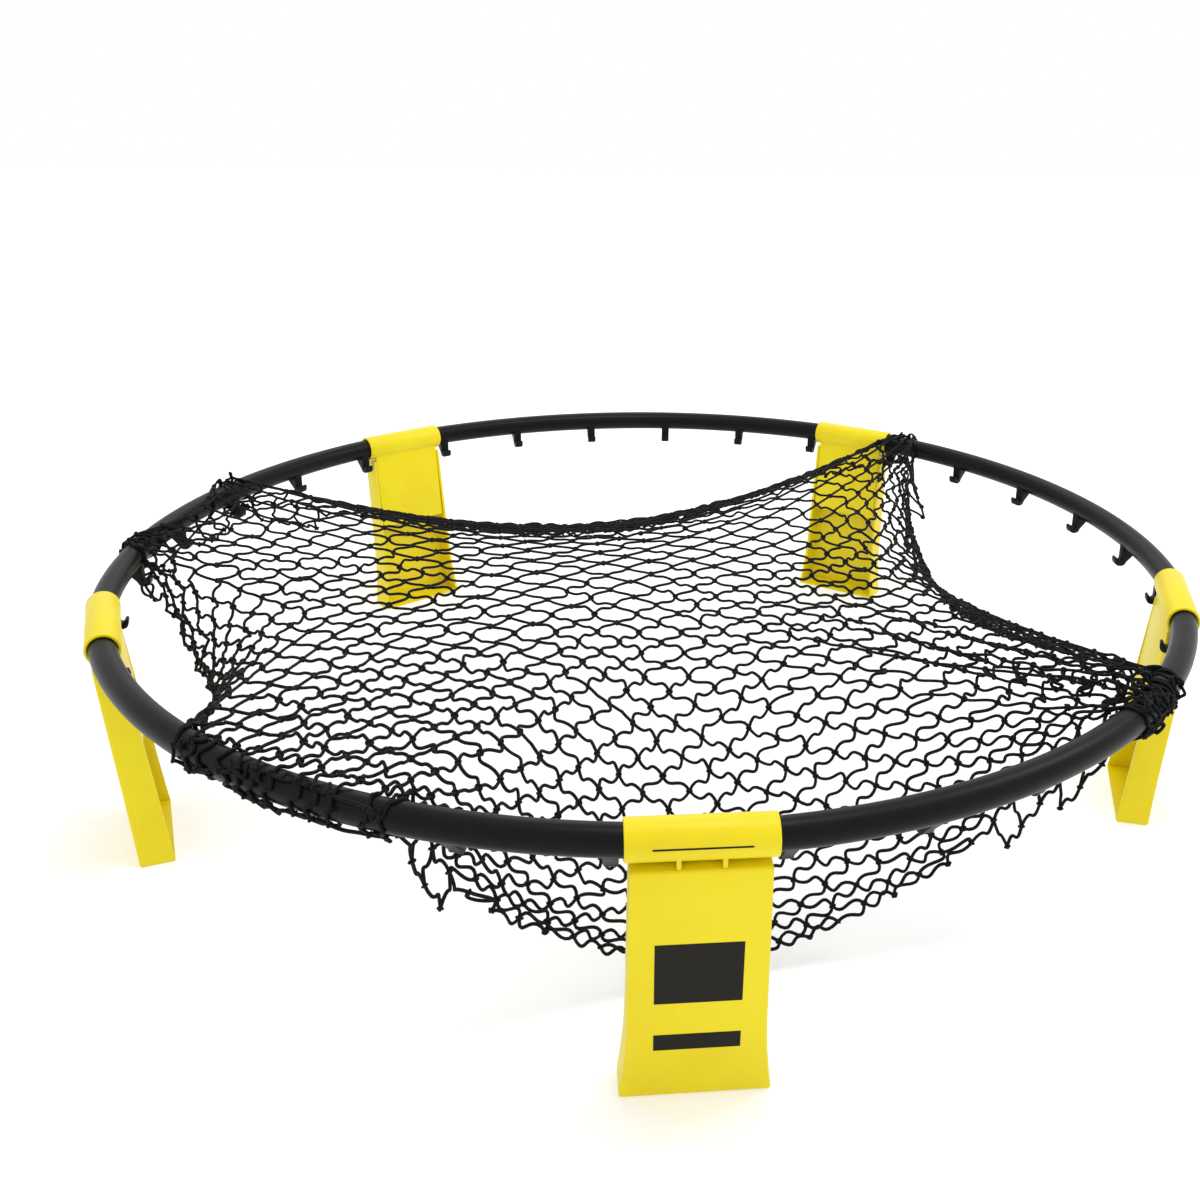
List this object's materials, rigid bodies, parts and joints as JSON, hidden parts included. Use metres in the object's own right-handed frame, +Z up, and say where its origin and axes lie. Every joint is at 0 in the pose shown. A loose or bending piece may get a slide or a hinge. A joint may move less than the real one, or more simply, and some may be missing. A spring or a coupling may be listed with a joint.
{
  "type": "roundnet set",
  "caption": "Lawn game set: a low ring of black tube on folding yellow legs, with a slack knotted net hung over it from small hooks.",
  "frame": {"origin": "on the ground under the centre of the ring", "axes": "+Z up, the front leg stands on the -Y side and leg numbers run anticlockwise seen from above"},
  "size_m": [0.9098, 0.9098, 0.196],
  "materials": {
    "rim_plastic": "satin black, moulded",
    "leg_plastic": "lemon yellow, soft sheen",
    "screw_steel": "bright zinc",
    "net_cord": "black knotted cord"
  },
  "bodies": {
    "ring": {"rim_segment_1": "rim_plastic", "rim_segment_2": "rim_plastic", "rim_segment_3": "rim_plastic", "rim_segment_4": "rim_plastic", "rim_segment_5": "rim_plastic", "rim_spigot_1": "rim_plastic", "rim_spigot_2": "rim_plastic", "rim_spigot_3": "rim_plastic", "rim_spigot_4": "rim_plastic", "rim_spigot_5": "rim_plastic", "net": "net_cord"},
    "leg_1": {"leg_panel_1": "leg_plastic", "leg_cover_1": "leg_plastic", "leg_screw_1_left": "screw_steel", "leg_screw_1_right": "screw_steel"},
    "leg_2": {"leg_panel_2": "leg_plastic", "leg_cover_2": "leg_plastic", "leg_screw_2_left": "screw_steel", "leg_screw_2_right": "screw_steel"},
    "leg_3": {"leg_panel_3": "leg_plastic", "leg_cover_3": "leg_plastic", "leg_screw_3_left": "screw_steel", "leg_screw_3_right": "screw_steel"},
    "leg_4": {"leg_panel_4": "leg_plastic", "leg_cover_4": "leg_plastic", "leg_screw_4_left": "screw_steel", "leg_screw_4_right": "screw_steel"},
    "leg_5": {"leg_panel_5": "leg_plastic", "leg_cover_5": "leg_plastic", "leg_screw_5_left": "screw_steel", "leg_screw_5_right": "screw_steel"}
  },
  "joints": [
    {"name": "leg_1_fold", "type": "hinge", "parent": "ring", "child": "leg_1", "pos_m": [0, -0.44279, 0.1835], "axis": [1, 0, 0], "range_deg": [0, 80], "deforming": ["net"]},
    {"name": "leg_2_fold", "type": "hinge", "parent": "ring", "child": "leg_2", "pos_m": [0.42112, -0.13683, 0.1835], "axis": [0.309, 0.9511, 0], "range_deg": [0, 80], "deforming": ["net"]},
    {"name": "leg_3_fold", "type": "hinge", "parent": "ring", "child": "leg_3", "pos_m": [0.26027, 0.35822, 0.1835], "axis": [-0.809, 0.5878, 0], "range_deg": [0, 80], "deforming": ["net"]},
    {"name": "leg_4_fold", "type": "hinge", "parent": "ring", "child": "leg_4", "pos_m": [-0.26027, 0.35822, 0.1835], "axis": [-0.809, -0.5878, 0], "range_deg": [0, 80], "deforming": ["net"]},
    {"name": "leg_5_fold", "type": "hinge", "parent": "ring", "child": "leg_5", "pos_m": [-0.42112, -0.13683, 0.1835], "axis": [0.309, -0.9511, 0], "range_deg": [0, 80], "deforming": ["net"]}
  ]
}
